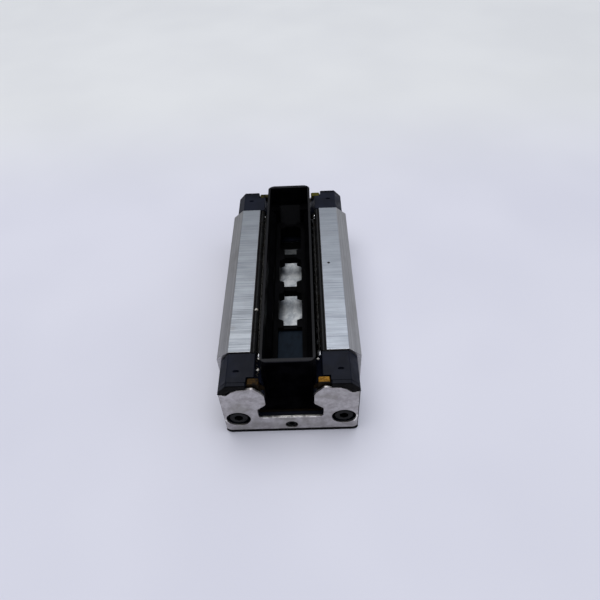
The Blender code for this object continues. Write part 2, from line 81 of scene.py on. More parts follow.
# Sizes that the frame's boxes don't give, the same as the CAD's
LEG_CHAMFER_Z = 17.4
LEG_TOP_OUTER_X = 14.05
LEG_INNER_X = 8.75
POCKET_X = 10.6
POCKET_TOP_Z = 18.0
WEB_TOP_Z = 6.9
BALL_RADIUS = 1.5875
BALLS_PER_CIRCUIT = 38
LOAD_X = 7.34
RETURN_X = 13.3
ROWS = {"web_side": (11.9, 10.6), "rail_base_side": (15.6, 16.4)}
BORE_RADIUS = 2.3
TURN_RADIUS = 1.75
MOUNT_HOLE_PITCH = 26.0
MOUNT_HOLE_DEPTH = 6.0
THREAD_PITCH = 0.7
SCREW_ROOM = 2.9
CAP_FLOOR = 33.6
FACING_START = 35.92
FACING_GROOVE = 0.08
DIMPLE = (11.8, 31.95)
RAIL_SIDE_X = 6.2
RAIL_INNER_X = 5.6
RAIL_POCKET_X = 5.2
RAIL_UNDERSIDE_Z = 10.0
RAIL_END_WALL = 1.0
RAIL_CORNER = 2.0
BOX_REACH = 33.0
FLOOR_X = 3.1
FLOOR_Z = 11.4
POST_X = 1.75
POST_Z = 13.0
RIB_Z = 12.3
RIBS = ((-14.0, -12.8), (-0.2, 1.4), (13.4, 14.8), (28.0, 29.2))
RAMP_START = 29.2
BOX_FLOOR_Z = 17.8


# --- outlines --------------------------------------------------------------------------

def circle(cx, cy, radius, segments=48, turn=0.0):
    steps = [2 * math.pi * i / segments + turn for i in range(segments)]
    return [(cx + radius * math.cos(a), cy + radius * math.sin(a)) for a in steps]


def arc(cx, cy, radius, start, end, segments=10):
    """Points on an arc from start to end, in degrees."""
    steps = [math.radians(start + (end - start) * i / segments) for i in range(segments + 1)]
    return [(cx + radius * math.cos(a), cy + radius * math.sin(a)) for a in steps]


def rounded(corners, steps=5):
    """Outline whose corners (x, z, radius) are replaced by arcs."""
    points = []
    count = len(corners)
    for i in range(count):
        here = Vector(corners[i][:2])
        radius = corners[i][2] if len(corners[i]) > 2 else 0.0
        back = Vector(corners[i - 1][:2]) - here
        ahead = Vector(corners[(i + 1) % count][:2]) - here
        half_angle = back.angle(ahead) / 2
        if radius < 1e-3 or abs(half_angle - math.pi / 2) < 1e-3:
            points.append(tuple(here))
            continue
        reach = radius / math.tan(half_angle)
        reach = min(reach, 0.49 * back.length, 0.49 * ahead.length)
        radius = reach * math.tan(half_angle)
        centre = here + (back.normalized() + ahead.normalized()).normalized() * radius / math.sin(half_angle)
        first = here + back.normalized() * reach - centre
        last = here + ahead.normalized() * reach - centre
        sweep = first.angle_signed(last)
        for step in range(steps + 1):
            turned = first.copy()
            turned.rotate(Matrix.Rotation(-sweep * step / steps, 2))
            points.append(tuple(centre + turned))
    return points


def both_halves(half):
    """Close a right-hand half outline that starts and ends on the centre plane."""
    left = [(-c[0], *c[1:]) for c in reversed(half) if c[0] > 1e-6]
    return half + left


def cap_outer(half_width, bottom, top, corner=1.3):
    """Outer edge of a cap or a seal, from the bottom centre to the top of the leg."""
    return [
        (0, bottom), (half_width, bottom, corner), (half_width, 17.2, 0.9),
        (half_width - 2.1, top, 0.5),
    ]


CAP_RAIL_EDGE = [
    (7.6, 19.6, 0.3), (7.45, 18.25, 0.4), (6.3, 17.05, 0.5), (6.0, 15.6, 0.8), (6.0, 12.8, 0.8),
    (7.95, 10.5, 0.8), (7.9, 7.2, 0.7), (0, 7.2),
]

SEAL_RAIL_EDGE = [
    (9.5, 19.5, 0.35), (9.5, 16.4, 0.3), (5.9, 16.4, 0.2), (5.55, 16.05, 0.2), (5.55, 11.9, 0.6),
    (7.6, 9.85, 0.6), (7.55, 6.85, 0.6), (0, 6.85),
]

PAD_EDGE = [
    (0, 5.4), (9.2, 5.4, 0.4), (9.2, 10.2, 0.6), (14.0, 11.0, 0.6), (14.0, 16.9, 0.5), (12.8, 18.1, 0.4),
    (9.2, 18.1, 0.2), (9.2, 19.4, 0.35), (6.65, 19.4, 0.35), (6.65, 17.15, 0.3), (5.55, 16.05, 0.4),
    (5.55, 12.4, 0.5), (7.6, 10.3, 0.5), (7.55, 7.05, 0.5), (0, 7.05),
]

PLATE_EDGE = [
    (0, 1.3), (15.75, 1.3, 1.2), (15.75, 16.55, 0.15), (15.1, 16.62, 0.4), (14.3, 16.15, 0.8),
    (12.9, 17.55, 0.5), (11.6, 18.25, 1.0), (9.6, 18.35, 1.5), (8.5, 18.75, 0.6), (7.9, 18.7, 0.3),
    (6.2, 16.75, 0.7), (5.65, 15.6, 0.8), (5.6, 12.15, 0.9), (7.7, 10.1, 0.9), (7.65, 6.6, 0.8), (0, 6.6),
]


# --- mesh tools ------------------------------------------------------------------------

def along_x(u, v, depth):
    return (depth, u, v)


def along_y(u, v, depth):
    return (u, depth, v)


def along_z(u, v, depth):
    return (u, v, depth)


def add_prism(bm, outline, low, high, place=along_y):
    """Extrude an outline; place(u, v, depth) puts its points in the part."""
    loops = []
    for depth in (low, high):
        places = [place(u, v, depth) for u, v in outline]
        loops.append([bm.verts.new(p) for p in places])
    faces = [bm.faces.new(loops[0]), bm.faces.new(loops[1])]
    count = len(outline)
    for i in range(count):
        j = (i + 1) % count
        faces.append(bm.faces.new((loops[0][i], loops[0][j], loops[1][j], loops[1][i])))
    bmesh.ops.recalc_face_normals(bm, faces=faces)


def add_frame(bm, outer, inner, low, high):
    """Slab between two outlines that each go once round, as a ring with a hole."""
    slab = bmesh.new()
    add_prism(slab, outer, min(low, high), max(low, high))
    frame_obj = make_object("frame_tool", slab)
    carve_prism(frame_obj, inner, low - 1, high + 1)
    bm.from_mesh(frame_obj.data)
    bmesh.ops.scale(bm, vec=(1 / MM, 1 / MM, 1 / MM), verts=bm.verts)
    bpy.data.objects.remove(frame_obj)


def add_turned(bm, profile, segments, place):
    """Turn a closed (radius, depth) profile; place(x, y, depth) puts a point in the part."""
    rings = []
    for radius, depth in profile:
        if radius < 1e-6:
            rings.append([bm.verts.new(place(0.0, 0.0, depth))])
            continue
        rings.append([bm.verts.new(place(x, y, depth)) for x, y in circle(0, 0, radius, segments)])
    faces = []
    for first, second in zip(rings, rings[1:]):
        for i in range(segments):
            j = (i + 1) % segments
            corners = [ring[k % len(ring)] for ring, k in ((first, i), (first, j), (second, j), (second, i))]
            kept = [v for k, v in enumerate(corners) if v not in corners[:k]]
            if len(kept) > 2:
                faces.append(bm.faces.new(kept))
    bmesh.ops.recalc_face_normals(bm, faces=faces)


def close_tube(bm, rings):
    """Faces between rings of vertices that follow each other, and one at either end."""
    faces = [bm.faces.new(rings[0]), bm.faces.new(rings[-1])]
    for first, second in zip(rings, rings[1:]):
        for i in range(len(first)):
            j = (i + 1) % len(first)
            faces.append(bm.faces.new((first[i], first[j], second[j], second[i])))
    bmesh.ops.recalc_face_normals(bm, faces=faces)


def make_object(name, bm):
    """Object in metres from a bmesh in millimetres."""
    bmesh.ops.scale(bm, vec=(MM, MM, MM), verts=bm.verts)
    mesh = bpy.data.meshes.new(name)
    bm.to_mesh(mesh)
    bm.free()
    obj = bpy.data.objects.new(name, mesh)
    bpy.context.scene.collection.objects.link(obj)
    return obj


def prism(name, outline, low, high, place=along_y):
    bm = bmesh.new()
    add_prism(bm, outline, min(low, high), max(low, high), place)
    return make_object(name, bm)


def bake_modifiers(obj):
    """Replace an object's mesh by its evaluated one."""
    bpy.context.view_layer.update()
    graph = bpy.context.evaluated_depsgraph_get()
    mesh = bpy.data.meshes.new_from_object(obj.evaluated_get(graph))
    obj.modifiers.clear()
    obj.data = mesh


def carve(obj, tool_mesh, operation="DIFFERENCE"):
    """Cut a bmesh of closed shapes out of an object, or join it on."""
    tool = make_object("tool", tool_mesh)
    modifier = obj.modifiers.new("carve", "BOOLEAN")
    modifier.operation = operation
    modifier.object = tool
    modifier.solver = "EXACT"
    bake_modifiers(obj)
    bpy.data.objects.remove(tool)


def carve_prism(obj, outline, low, high, place=along_y):
    bm = bmesh.new()
    add_prism(bm, outline, min(low, high), max(low, high), place)
    carve(obj, bm)


def soften(obj, width, segments=2, angle=35):
    """Round off the sharp edges by a width in millimetres and shade the piece smooth."""
    bm = bmesh.new()
    bm.from_mesh(obj.data)
    bmesh.ops.remove_doubles(bm, verts=bm.verts, dist=0.004 * MM)
    bmesh.ops.dissolve_limit(bm, angle_limit=math.radians(1.0), verts=bm.verts, edges=bm.edges)
    bm.to_mesh(obj.data)
    bm.free()
    bevel = obj.modifiers.new("edges", "BEVEL")
    bevel.width = width * MM
    bevel.segments = segments
    bevel.limit_method = "ANGLE"
    bevel.angle_limit = math.radians(angle)
    bevel.miter_outer = "MITER_ARC"
    bake_modifiers(obj)
    smooth(obj, angle)


def smooth(obj, angle=35):
    obj.data.shade_smooth()
    obj.data.set_sharp_from_angle(angle=math.radians(angle))
    weighted = obj.modifiers.new("flat_faces", "WEIGHTED_NORMAL")
    weighted.keep_sharp = True
    bake_modifiers(obj)


def settle(obj, look, body, slot, *nodes):
    """Give a piece its material and its body, and hide the CAD nodes that it stands for; slot is not used."""
    if look:
        obj.data.materials.clear()
        obj.data.materials.append(look)
    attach(obj, body)
    if nodes:
        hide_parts(*nodes)
    return obj


# --- materials -------------------------------------------------------------------------

class Look:
    """A node material that is put together step by step, in object space."""

    def __init__(self, name, colour, roughness, metallic=0.0):
        self.material = bpy.data.materials.new(name)
        self.material.use_nodes = True
        self.tree = self.material.node_tree
        self.shader = self.tree.nodes["Principled BSDF"]
        self.set("Base Color", (*colour, 1.0))
        self.set("Roughness", roughness)
        self.set("Metallic", metallic)
        self.place = self.node("ShaderNodeTexCoord").outputs["Object"]
        self.normal = None

    def set(self, socket, value):
        self.shader.inputs[socket].default_value = value

    def node(self, kind, **inputs):
        made = self.tree.nodes.new(kind)
        for name, value in inputs.items():
            socket = made.inputs[name.replace("_", " ").title()]
            if isinstance(value, bpy.types.NodeSocket):
                self.tree.links.new(value, socket)
            else:
                socket.default_value = value
        return made

    def drive(self, socket, source):
        self.tree.links.new(source, self.shader.inputs[socket])

    def noise(self, period, detail=3.0, roughness=0.5, distortion=0.0):
        """Noise whose features are about period millimetres long along X, Y and Z."""
        if not isinstance(period, tuple):
            period = (period, period, period)
        scale = tuple(1 / (MM * p) for p in period)
        mapped = self.node("ShaderNodeMapping", vector=self.place, scale=scale)
        texture = self.node(
            "ShaderNodeTexNoise", vector=mapped.outputs["Vector"], scale=1.0, detail=detail,
            roughness=roughness, distortion=distortion,
        )
        return texture.outputs["Factor"] if "Factor" in texture.outputs else texture.outputs["Fac"]

    def ramp(self, value, low, high, out_low=0.0, out_high=1.0):
        """Remap a value from low..high to out_low..out_high, smoothly."""
        made = self.node("ShaderNodeMapRange", value=value, from_min=low, from_max=high,
                         to_min=out_low, to_max=out_high)
        made.interpolation_type = "SMOOTHSTEP"
        return made.outputs["Result"]

    def span(self, value, low, high, out_low=0.0, out_high=1.0):
        """The same as ramp, for a distance whose limits are given in millimetres."""
        return self.ramp(value, low * MM, high * MM, out_low, out_high)

    def axis(self, name):
        """Distance along X, Y or Z in the part."""
        return self.node("ShaderNodeSeparateXYZ", vector=self.place).outputs[name]

    def math(self, operation, first, second=0.0):
        made = self.tree.nodes.new("ShaderNodeMath")
        made.operation = operation
        for socket, value in zip(made.inputs, (first, second)):
            if isinstance(value, bpy.types.NodeSocket):
                self.tree.links.new(value, socket)
            else:
                socket.default_value = value
        return made.outputs["Value"]

    def times(self, first, second):
        return self.math("MULTIPLY", first, second)

    def blend(self, factor, first, second):
        """Mix two colours, each a colour or a socket."""
        made = self.tree.nodes.new("ShaderNodeMix")
        made.data_type = "RGBA"
        for socket, value in ((made.inputs[0], factor), (made.inputs[6], first), (made.inputs[7], second)):
            if isinstance(value, bpy.types.NodeSocket):
                self.tree.links.new(value, socket)
            elif socket is made.inputs[0]:
                socket.default_value = value
            else:
                socket.default_value = (*value, 1.0)
        return made.outputs[2]

    def near(self, point, inner, outer):
        """1 within inner millimetres of a point in the part, fading to 0 at outer."""
        made = self.tree.nodes.new("ShaderNodeVectorMath")
        made.operation = "DISTANCE"
        self.tree.links.new(self.place, made.inputs[0])
        made.inputs[1].default_value = [c * MM for c in point]
        return self.span(made.outputs["Value"], inner, outer, 1.0, 0.0)

    def bump(self, height, depth, strength=1.0):
        """Add relief of depth millimetres; calls stack."""
        made = self.node("ShaderNodeBump", height=height, distance=depth * MM, strength=strength)
        if self.normal:
            self.tree.links.new(self.normal, made.inputs["Normal"])
        self.normal = made.outputs["Normal"]
        self.drive("Normal", self.normal)


def milled_steel():
    """Leg and mounting faces: lines across the travel, bright, with handling marks and a painted highlight
    towards the right.
    """
    look = Look("milled_steel", (0.60, 0.63, 0.66), 0.42, 1.0)
    lines = look.noise((90.0, 0.19, 90.0), 4.0, 0.7, 0.04)
    broad = look.noise((9.0, 2.6, 9.0), 3.0, 0.6)
    cloud = look.noise(6.0, 4.0, 0.6)
    shade = look.math("ADD", look.times(lines, 0.72), look.times(broad, 0.28))
    strength = look.span(look.axis("Y"), -26, 24, 1.4, 0.55)
    shade = look.math("ADD", look.times(look.math("SUBTRACT", shade, 0.5), strength), 0.5)
    colour = look.blend(look.ramp(shade, 0.36, 0.64), (0.222, 0.240, 0.262), (0.395, 0.42, 0.45))
    colour = look.blend(look.ramp(cloud, 0.55, 0.8, 0.0, 0.35), colour, (0.27, 0.275, 0.28))
    # Painted highlight: lighter and bluer towards the right-hand leg, most at the near end.
    painted_sheen_right = look.times(look.span(look.axis("X"), -12, 12, 0.0, 0.14), strength)
    colour = look.blend(painted_sheen_right, colour, (0.60, 0.65, 0.74))
    scratch = look.noise((16.0, 0.15, 16.0), 2.0, 0.5, 0.03)
    scratched = look.times(look.ramp(scratch, 0.30, 0.40, 0.6, 0.0), strength)
    colour = look.blend(scratched, colour, (0.09, 0.095, 0.105))
    pit = look.near((10.65, 2.5, 19.9), 0.22, 0.42)
    stain = look.near((-13.4, -19.5, 19.9), 0.0, 1.0)
    stain = look.times(stain, look.ramp(broad, 0.35, 0.6, 0.1, 0.6))
    colour = look.blend(stain, colour, (0.15, 0.11, 0.08))
    colour = look.blend(pit, colour, (0.03, 0.025, 0.02))
    look.drive("Base Color", colour)
    look.drive("Roughness", look.ramp(shade, 0.3, 0.7, 0.5, 0.38))
    look.bump(lines, 0.012)
    look.bump(look.times(pit, -1.0), 0.15)
    return look.material


def ground_steel():
    """Sides, chamfers and channel of the block: fine lines along the travel, duller."""
    look = Look("ground_steel", (0.50, 0.50, 0.50), 0.42, 1.0)
    lines = look.noise((0.22, 45.0, 0.22), 4.0, 0.6)
    cloud = look.noise((5.0, 12.0, 5.0), 4.0, 0.6)
    colour = look.blend(look.ramp(lines, 0.3, 0.7), (0.36, 0.355, 0.355), (0.52, 0.515, 0.515))
    colour = look.blend(look.ramp(cloud, 0.5, 0.75, 0.0, 0.5), colour, (0.30, 0.29, 0.28))
    look.drive("Base Color", colour)
    look.drive("Roughness", look.ramp(cloud, 0.3, 0.7, 0.36, 0.52))
    look.bump(lines, 0.006)
    return look.material


def web_steel():
    """Floor of the channel: dull worn grey with a painted shadow along its left side, and darker towards the
    rear.
    """
    look = Look("web_steel", (0.46, 0.48, 0.50), 0.6, 0.6)
    cloud = look.noise((1.6, 2.6, 2.6), 4.0, 0.6, 0.5)
    specks = look.noise(0.55, 4.0, 0.7)
    streak = look.noise((0.5, 6.0, 6.0), 3.0, 0.6)
    colour = look.blend(look.ramp(cloud, 0.34, 0.62), (0.40, 0.43, 0.46), (0.66, 0.68, 0.69))
    colour = look.blend(look.ramp(specks, 0.6, 0.72, 0.0, 0.75), colour, (0.12, 0.12, 0.14))
    # Painted shadow along the left side of the floor, with a wavy edge.
    drift = look.noise((9.0, 6.0, 9.0), 4.0, 0.6)
    left_shadow_edge = look.math("ADD", look.axis("X"), look.times(drift, 5.0 * MM))
    colour = look.blend(look.span(left_shadow_edge, -0.9, 1.3, 0.8, 0.0), colour, (0.09, 0.10, 0.12))
    # Darker and almost without reflection towards the rear: partly from y 16.5 mm, fully from 22.8 mm.
    edge = look.math("ADD", look.axis("Y"), look.times(cloud, 1.0 * MM))
    darkening = look.span(edge, 16.5, 21.2, 0.0, 0.85)
    darkening = look.math("MAXIMUM", darkening, look.span(edge, 22.8, 23.8))
    look.drive("Base Color", look.blend(darkening, colour, (0.001, 0.001, 0.001)))
    look.drive("Roughness", look.ramp(streak, 0.3, 0.7, 0.5, 0.66))
    look.drive("Metallic", look.ramp(darkening, 0.0, 1.0, 0.6, 0.0))
    look.drive("Specular IOR Level", look.ramp(darkening, 0.0, 1.0, 0.5, 0.02))
    look.bump(streak, 0.006)
    look.bump(specks, 0.008)
    return look.material


def stainless_sheet():
    """Stamped cover plate: satin grey with faint mottling, scratches, dulled patches and painted glints."""
    look = Look("stainless_sheet", (0.50, 0.49, 0.50), 0.42, 1.0)
    mottle = look.noise(1.6, 5.0, 0.65)
    cloud = look.noise(5.5, 3.0, 0.5)
    scratch = look.noise((2.8, 2.8, 0.10), 3.0, 0.6, 0.4)
    colour = look.blend(look.ramp(mottle, 0.35, 0.68), (0.35, 0.33, 0.325), (0.52, 0.50, 0.50))
    colour = look.blend(look.ramp(cloud, 0.48, 0.72, 0.0, 0.6), colour, (0.30, 0.29, 0.26))
    x = look.math("ABSOLUTE", look.axis("X"))
    z = look.axis("Z")
    # Painted glints: a bright strip along the slot's lower edge and bright arcs on the outer side of the
    # screw holes.
    painted_glint = look.times(look.span(z, 6.15, 6.4), look.span(z, 6.9, 7.2, 1.0, 0.0))
    painted_glint = look.times(painted_glint, look.span(x, 6.4, 7.0, 1.0, 0.0))
    for side in SIDES.values():
        for end in ENDS.values():
            hole = (side * SCREW_X, end * PLATE_HIGH.y, SCREW_Z)
            rim = look.math("SUBTRACT", look.near(hole, 3.1, 3.35), look.near(hole, 2.75, 2.9))
            rim = look.times(rim, look.span(x, 14.7, 15.1))
            rim = look.times(rim, look.span(z, 6.4, 7.0, 1.8, 0.0))
            painted_glint = look.math("MAXIMUM", painted_glint, rim)
    painted_glint = look.times(painted_glint, look.ramp(mottle, 0.38, 0.55, 0.1, 1.0))
    painted_glint = look.math("MINIMUM", painted_glint, 1.0)
    # The painted glints are near-white.
    colour = look.blend(painted_glint, colour, (0.95, 0.93, 0.88))
    look.drive("Base Color", colour)
    look.drive("Roughness", look.ramp(cloud, 0.3, 0.7, 0.36, 0.5))
    look.bump(cloud, 0.05, 0.6)
    look.bump(scratch, 0.004)
    look.bump(mottle, 0.008)
    return look.material


def moulded(name, colour, roughness, sheen_patch, specular):
    """Moulded black plastic: spark-eroded grain, slight sink and oily patches."""
    look = Look(name, colour, roughness)
    look.set("Specular IOR Level", specular)
    grain = look.noise(0.10, 2.0, 0.5)
    sink = look.noise(4.5, 2.0, 0.5)
    oil = look.noise(3.2, 4.0, 0.6)
    patch = look.ramp(oil, 0.45, 0.7)
    lighter = tuple(c * 1.9 + 0.0005 for c in colour)
    look.drive("Base Color", look.blend(look.ramp(sink, 0.35, 0.7), colour, lighter))
    look.drive("Roughness", look.ramp(patch, 0.0, 1.0, roughness, roughness - sheen_patch))
    look.bump(sink, 0.06, 0.5)
    look.bump(grain, 0.006)
    return look.material


def seal_rubber():
    """End seal: moulded backing in the cap's colour, faced with dull black rubber."""
    look = Look("seal_rubber", (0.0012, 0.0011, 0.0013), 0.35)
    film = look.noise(1.4, 4.0, 0.6)
    grain = look.noise(0.10, 2.0, 0.5)
    depth = look.math("ABSOLUTE", look.axis("Y"))
    facing = look.span(depth, FACING_START - FACING_GROOVE, FACING_START - FACING_GROOVE / 2)
    rubber = look.ramp(film, 0.35, 0.7)
    rubber = look.blend(rubber, (0.0009, 0.0008, 0.0010), (0.0026, 0.0023, 0.0026))
    look.drive("Base Color", look.blend(facing, (0.0034, 0.0044, 0.0085), rubber))
    look.drive("Roughness", look.ramp(film, 0.35, 0.7, 0.5, 0.34))
    look.drive("Specular IOR Level", look.ramp(facing, 0.0, 1.0, 0.09, 0.03))
    look.bump(film, 0.05)
    look.bump(grain, 0.005)
    return look.material


def rail_plastic():
    """Moulded black trough: dull inside, a painted sky reflection on the near floor, rubbed wear with a
    painted highlight on the rim and outer sides, and painted light on the far ramp.
    """
    look = Look("rail_plastic", (0.0010, 0.0010, 0.0012), 0.5)
    grain = look.noise(0.12, 2.0, 0.5)
    sink = look.noise((3.0, 6.0, 3.0), 3.0, 0.5)
    dust_and_sheen = look.noise((1.2, 2.4, 1.2), 4.0, 0.6)
    x = look.math("ABSOLUTE", look.axis("X"))
    y = look.axis("Y")
    z = look.axis("Z")
    colour = look.ramp(sink, 0.35, 0.7)
    colour = look.blend(colour, (0.0008, 0.0008, 0.0010), (0.0026, 0.0025, 0.0032))
    # Rubbed wear with a painted highlight: the rim's top lighter and bluish, most at the near end, and the
    # outer sides lighter.
    rim = look.times(look.span(z, 23.75, 23.95), look.span(y, -31.9, -30.5, 1.0, 0.4))
    rubbed_and_sheen = look.math("MAXIMUM", rim, look.span(x, 6.08, 6.16, 0.0, 0.45))
    rubbed_and_sheen = look.times(rubbed_and_sheen, look.ramp(dust_and_sheen, 0.25, 0.6, 0.5, 1.0))
    colour = look.blend(rubbed_and_sheen, colour, (0.0125, 0.0125, 0.0150))
    # Painted sky reflection: the near floor bluish and lighter, blotched by noise.
    near_floor_sky_sheen = look.times(look.span(z, 11.6, 11.9, 1.0, 0.0), look.span(y, -14.1, -13.9, 1.0, 0.0))
    near_floor_sky_sheen = look.times(near_floor_sky_sheen, look.span(y, -32.5, -31.8))
    near_floor_sky_sheen = look.times(near_floor_sky_sheen, look.ramp(dust_and_sheen, 0.2, 0.6, 0.55, 1.0))
    colour = look.blend(near_floor_sky_sheen, colour, (0.0105, 0.0160, 0.0240))
    # Painted light: the far ramp lighter than the rest of the trough.
    far_ramp_painted_light = look.times(look.span(y, 28.9, 29.3), look.span(z, 17.5, 17.7, 1.0, 0.0))
    far_ramp_painted_light = look.times(far_ramp_painted_light, look.span(x, 3.0, 3.2, 1.0, 0.0))
    colour = look.blend(far_ramp_painted_light, colour, (0.011, 0.011, 0.012))
    look.drive("Base Color", colour)
    shine = look.math("MAXIMUM", look.span(x, 5.5, 5.7, 0.02, 0.10), look.span(z, 23.7, 23.9, 0.02, 0.14))
    shine = look.math("MINIMUM", shine, look.span(y, -32.9, -32.7, 0.0, 0.14))
    look.drive("Specular IOR Level", shine)
    look.drive("Roughness", look.ramp(dust_and_sheen, 0.3, 0.7, 0.42, 0.56))
    look.bump(sink, 0.05, 0.5)
    look.bump(grain, 0.006)
    return look.material


def oily_rubber(name, colour, roughness, lump):
    """Black rubber under a film of grease: lumpy, with shiny wet spots."""
    look = Look(name, colour, roughness)
    look.set("Specular IOR Level", 0.22)
    lumps = look.noise(0.9, 4.0, 0.6)
    film = look.noise(1.7, 3.0, 0.6)
    look.drive("Roughness", look.ramp(film, 0.4, 0.75, roughness, 0.15))
    look.drive("Base Color", look.blend(look.ramp(film, 0.5, 0.75), colour, (0.010, 0.008, 0.005)))
    look.bump(lumps, lump)
    return look.material


def soaked_felt():
    """Amber oil pad: fibrous, darker where old grease has soaked in, with painted shade on its lower part and
    front face, and darker on the left and at the rear.
    """
    look = Look("soaked_felt", (0.36, 0.19, 0.03), 0.5)
    fibre = look.noise((0.5, 0.12, 0.12), 4.0, 0.7, 0.6)
    dirt = look.noise(2.2, 4.0, 0.6)
    y = look.axis("Y")
    # Darker on the left and at the rear, painted shade on the lower part and the front face, and grease soak
    # from noise.
    left = look.span(look.axis("X"), -2, 3, 0.87, 0.0)
    deep = look.span(look.axis("Z"), 18.3, 19.25, 0.985, 0.0)
    rear = look.span(y, 0, 20, 0.0, 0.72)
    front = look.span(y, -35.35, -35.05, 0.95, 0.0)
    darkening = look.math("MAXIMUM", look.math("MAXIMUM", left, deep), look.math("MAXIMUM", rear, front))
    darkening = look.math("ADD", darkening, look.ramp(dirt, 0.5, 0.8, 0.0, 0.4))
    colour = look.blend(look.ramp(fibre, 0.4, 0.62), (0.09, 0.036, 0.003), (0.34, 0.175, 0.024))
    colour = look.blend(look.span(y, 0, 20), colour, (0.20, 0.185, 0.02))
    colour = look.blend(look.math("MINIMUM", darkening, 1.0), colour, (0.006, 0.0045, 0.003))
    look.drive("Base Color", colour)
    look.bump(fibre, 0.06)
    look.set("Specular IOR Level", 0.05)
    return look.material


def screw_steel():
    """Black oxide screw, oiled, with bright rubs."""
    look = Look("screw_steel", (0.005, 0.005, 0.005), 0.45)
    rub = look.noise(0.8, 4.0, 0.65)
    colour = look.blend(look.ramp(rub, 0.55, 0.8), (0.002, 0.002, 0.002), (0.014, 0.013, 0.012))
    look.drive("Base Color", colour)
    look.drive("Roughness", look.ramp(rub, 0.3, 0.7, 0.3, 0.5))
    look.set("Specular IOR Level", 0.09)
    look.bump(look.noise(0.15, 2.0), 0.006)
    return look.material


def polished_steel(name, colour, roughness, line_period):
    """Hardened race or ball: polished, with very fine lines and an oil film."""
    look = Look(name, colour, roughness, 1.0)
    film = look.noise(1.5, 3.0, 0.5)
    look.drive("Roughness", look.ramp(film, 0.3, 0.7, roughness, roughness + 0.12))
    darker = tuple(c * 0.8 for c in colour)
    look.drive("Base Color", look.blend(look.ramp(film, 0.4, 0.7), colour, darker))
    look.bump(look.noise(line_period, 2.0), 0.001)
    return look.material


def grease(name, colour, roughness):
    """Old dark grease: lumpy, with small wet spots."""
    look = Look(name, colour, roughness)
    look.set("Specular IOR Level", 0.3)
    lumps = look.noise(0.45, 4.0, 0.65)
    wet = look.noise(0.6, 3.0)
    darker = tuple(c * 0.4 for c in colour)
    look.drive("Base Color", look.blend(look.ramp(lumps, 0.35, 0.7), darker, colour))
    look.drive("Roughness", look.ramp(wet, 0.56, 0.66, roughness, 0.12))
    look.bump(lumps, 0.10)
    return look.material


def chip():
    """Loose bright metal chip, tarnished."""
    look = Look("loose_chip", (0.60, 0.58, 0.54), 0.45)
    stain = look.noise(0.25, 3.0)
    colour = look.blend(look.ramp(stain, 0.4, 0.7), (0.66, 0.64, 0.60), (0.30, 0.26, 0.20))
    look.drive("Base Color", colour)
    look.bump(stain, 0.02)
    return look.material


LOOKS = {
    "milled": milled_steel(),
    "ground": ground_steel(),
    "web": web_steel(),
    "sheet": stainless_sheet(),
    "cap": moulded("cap_plastic", (0.0032, 0.0042, 0.0085), 0.5, 0.16, 0.1),
    "rail": rail_plastic(),
    "guide": moulded("guide_plastic", (0.004, 0.004, 0.0045), 0.45, 0.2, 0.2),
    "seal": seal_rubber(),
    "lip": oily_rubber("lip_rubber", (0.0042, 0.0042, 0.0046), 0.45, 0.09),
    "pad": soaked_felt(),
    "screw": screw_steel(),
    "ball": polished_steel("ball_steel", (0.74, 0.75, 0.77), 0.08, 0.4),
    "race": polished_steel("race_steel", (0.50, 0.51, 0.53), 0.2, (0.1, 20.0, 0.1)),
    "grease": grease("old_grease", (0.0085, 0.0075, 0.006), 0.5),
    "speck": grease("grease_speck", (0.05, 0.042, 0.030), 0.35),
    "chip": chip(),
}


# --- steel block -----------------------------------------------------------------------

def tapped_hole(bm, radius, depth, place):
    """Blind tapped hole as a cutter: countersunk mouth, thread grooves, drill point."""
    profile = [(0.0, -1.0), (radius + 0.35, -1.0), (radius + 0.35, 0.0)]
    profile.append((radius, 0.35))
    turns = int((depth - 1.0) / THREAD_PITCH)
    for turn in range(turns):
        start = 0.45 + turn * THREAD_PITCH
        profile.append((radius, start))
        profile.append((radius + 0.3 * THREAD_PITCH, start + 0.45 * THREAD_PITCH))
        profile.append((radius, start + 0.9 * THREAD_PITCH))
    profile.append((radius, depth))
    profile.append((0.0, depth + 0.6 * radius))
    add_turned(bm, profile, 24, place)


def block_body():
    """Steel saddle with rounded edges, return bores and tapped holes."""
    top = BLOCK_HIGH.z
    wide = BLOCK_HIGH.x
    long = BLOCK_HIGH.y
    half = [
        (0, 0), (wide - 0.5, 0, 0.2), (wide, 0.5, 0.2), (wide, LEG_CHAMFER_Z, 0.35),
        (LEG_TOP_OUTER_X, top, 0.3), (LEG_INNER_X, top, 0.2), (LEG_INNER_X, POCKET_TOP_Z, 0.1),
        (POCKET_X, POCKET_TOP_Z, 0.2), (POCKET_X, WEB_TOP_Z + 0.5, 0.2), (POCKET_X - 0.5, WEB_TOP_Z, 0.2),
        (0, WEB_TOP_Z),
    ]
    obj = prism("block", rounded(both_halves(half)), -long, long)
    bm = bmesh.new()
    for side in SIDES.values():
        for _, return_z in ROWS.values():
            add_prism(bm, circle(side * RETURN_X, return_z, BORE_RADIUS), -long - 1, long + 1)
    carve(obj, bm)
    bm = bmesh.new()
    for side in SIDES.values():
        for end in ENDS.values():
            corner = Vector((side * MOUNT_HOLE_PITCH / 2, end * MOUNT_HOLE_PITCH / 2, 0))
            tapped_hole(bm, 1.65, MOUNT_HOLE_DEPTH, lambda x, y, d: (corner.x + x, corner.y + y, d))
            tapped_hole(bm, 1.3, 5.5, lambda x, y, d: (side * SCREW_X + x, end * (long - d), SCREW_Z + y))
    carve(obj, bm)
    soften(obj, 0.1)
    for look in ("ground", "milled", "web"):
        obj.data.materials.append(LOOKS[look])
    for face in obj.data.polygons:
        if face.normal.z > 0.93:
            face.material_index = 1 if face.center.z > 15 * MM else 2
    settle(obj, None, CARRIAGE, "ground_steel", "block_body")


# --- ball circuits ---------------------------------------------------------------------

